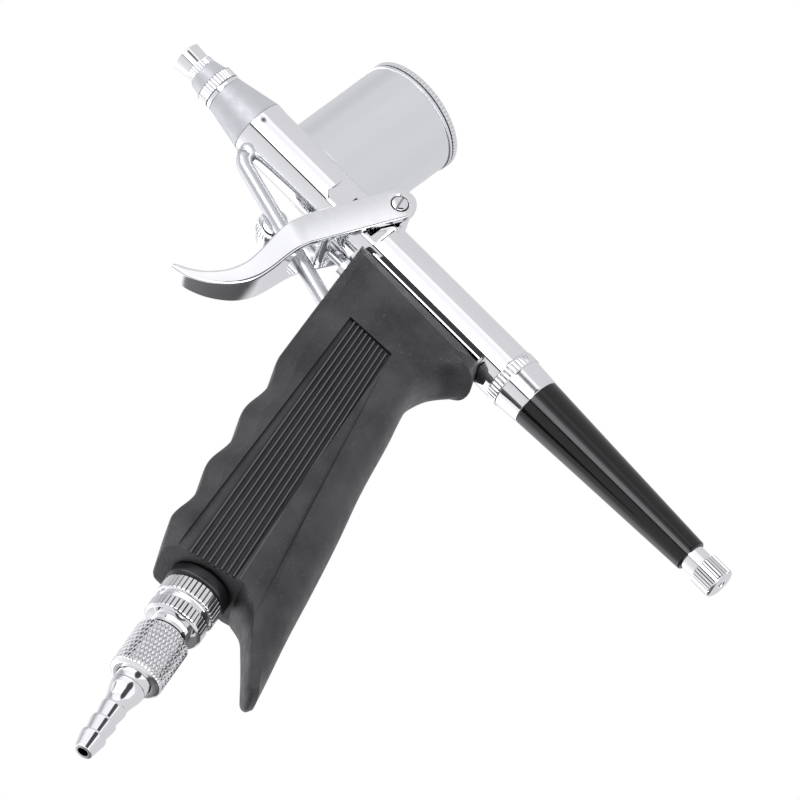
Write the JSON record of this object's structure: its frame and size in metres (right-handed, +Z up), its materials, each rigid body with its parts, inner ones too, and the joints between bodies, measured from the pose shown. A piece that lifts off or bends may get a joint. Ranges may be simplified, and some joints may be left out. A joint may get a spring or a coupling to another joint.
{
  "type": "airbrush gun",
  "caption": "Pistol-grip airbrush with a straight barrel, side paint cup, pull trigger, external air duct, finger grip and a quick-release hose barb.",
  "frame": {"origin": "centre of the spray outlet, on the barrel's axis, at the front face of the crown cap", "axes": "+X along the barrel from the spray outlet to the tail, +Z up towards the paint cup's rim, +Y to the user's right, the cup's side"},
  "size_m": [0.1995, 0.0489, 0.2143],
  "materials": {
    "chrome": "polished chrome plate",
    "satin_nickel": "satin nickel plate",
    "black_gloss": "gloss black anodised",
    "black_plastic": "moulded matte plastic with fine grain",
    "steel": "turned steel",
    "brass": "turned brass",
    "ptfe": "white sealing plastic",
    "rubber": "black rubber"
  },
  "bodies": {
    "gun": {"crown_cap": "chrome", "barrel": "chrome", "tail_collar": "chrome", "pivot_screw": "chrome", "pivot_nut": "chrome", "air_duct": "chrome", "valve_block": "chrome", "quick_plug": "chrome", "grip_nut": "chrome", "paint_cup": "chrome", "cup_floor": "chrome", "cup_stem": "chrome", "valve_casing": "chrome", "head": "satin_nickel", "nozzle_cap": "satin_nickel", "handle_sleeve": "black_gloss", "grip": "black_plastic", "grip_bush": "black_plastic", "block_screws": "steel", "handle_tube": "steel", "nozzle": "steel", "needle_spring": "steel", "valve_spring": "steel", "packing_screw": "brass", "spring_guide": "brass", "stop_guide": "brass", "valve_plug": "brass", "nozzle_seal": "ptfe", "needle_packing": "ptfe", "valve_seat": "ptfe", "tail_seal": "rubber", "inlet_seal": "rubber"},
    "trigger": {"trigger": "chrome"},
    "needle_set": {"needle": "steel", "needle_tube": "steel", "chuck_nut": "steel"},
    "air_valve": {"valve_plunger": "steel", "plunger_seal": "rubber"},
    "stop_stem": {"stop_stem": "steel"},
    "stop_knob": {"stop_knob": "chrome"},
    "cup_lid": {"cup_lid": "chrome"},
    "air_knob": {"air_control_knob": "chrome"},
    "coupler": {"coupler_body": "chrome", "hose_barb": "chrome", "coupler_balls": "steel", "coupler_seal": "rubber", "coupler_spring": "steel"},
    "coupler_sleeve": {"coupler_sleeve": "satin_nickel"}
  },
  "joints": [
    {"name": "trigger_pull", "type": "hinge", "parent": "gun", "child": "trigger", "pos_m": [0.0692, 0, 0.0085], "axis": [0, -1, 0], "range_deg": [0, 15], "stiffness_Nm_per_rad": 0.3, "springref_deg": -14.32},
    {"name": "needle_draw", "type": "slide", "parent": "gun", "child": "needle_set", "axis": [1, 0, 0], "range_m": [0, 0.0024], "deforming": ["needle_spring"]},
    {"name": "valve_push", "type": "slide", "parent": "gun", "child": "air_valve", "axis": [1, 0, 0], "range_m": [0, 0.0055], "deforming": ["valve_spring"]},
    {"name": "stop_travel", "type": "slide", "parent": "gun", "child": "stop_stem", "axis": [1, 0, 0], "range_m": [-0.0035, 0.002]},
    {"name": "stop_turn", "type": "hinge", "parent": "stop_stem", "child": "stop_knob", "pos_m": [0.19, 0, 0], "axis": [1, 0, 0], "range_deg": [-2530, 1450]},
    {"name": "lid_lift", "type": "slide", "parent": "gun", "child": "cup_lid", "axis": [0, 0, 1], "range_m": [0, 0.02]},
    {"name": "air_knob_turn", "type": "hinge", "parent": "gun", "child": "air_knob", "pos_m": [0.05, 0.004, -0.01555], "axis": [0, 1, 0], "range_deg": [-540, 0]},
    {"name": "coupler_swivel", "type": "hinge", "parent": "gun", "child": "coupler", "pos_m": [0.1169, 0, -0.1074], "axis": [0.2756, 0, -0.9613], "continuous": true},
    {"name": "sleeve_pull", "type": "slide", "parent": "coupler", "child": "coupler_sleeve", "axis": [0.2756, 0, -0.9613], "range_m": [0, 0.0025], "stiffness_N_per_m": 300, "springref_m": -0.008, "deforming": ["coupler_spring"]}
  ],
  "couplings": [
    {"joint": "needle_draw", "follows": "trigger_pull", "m_per_rad": 0.00908},
    {"joint": "valve_push", "follows": "trigger_pull", "m_per_rad": 0.02051},
    {"joint": "stop_turn", "follows": "stop_travel", "rad_per_m": 12566}
  ]
}
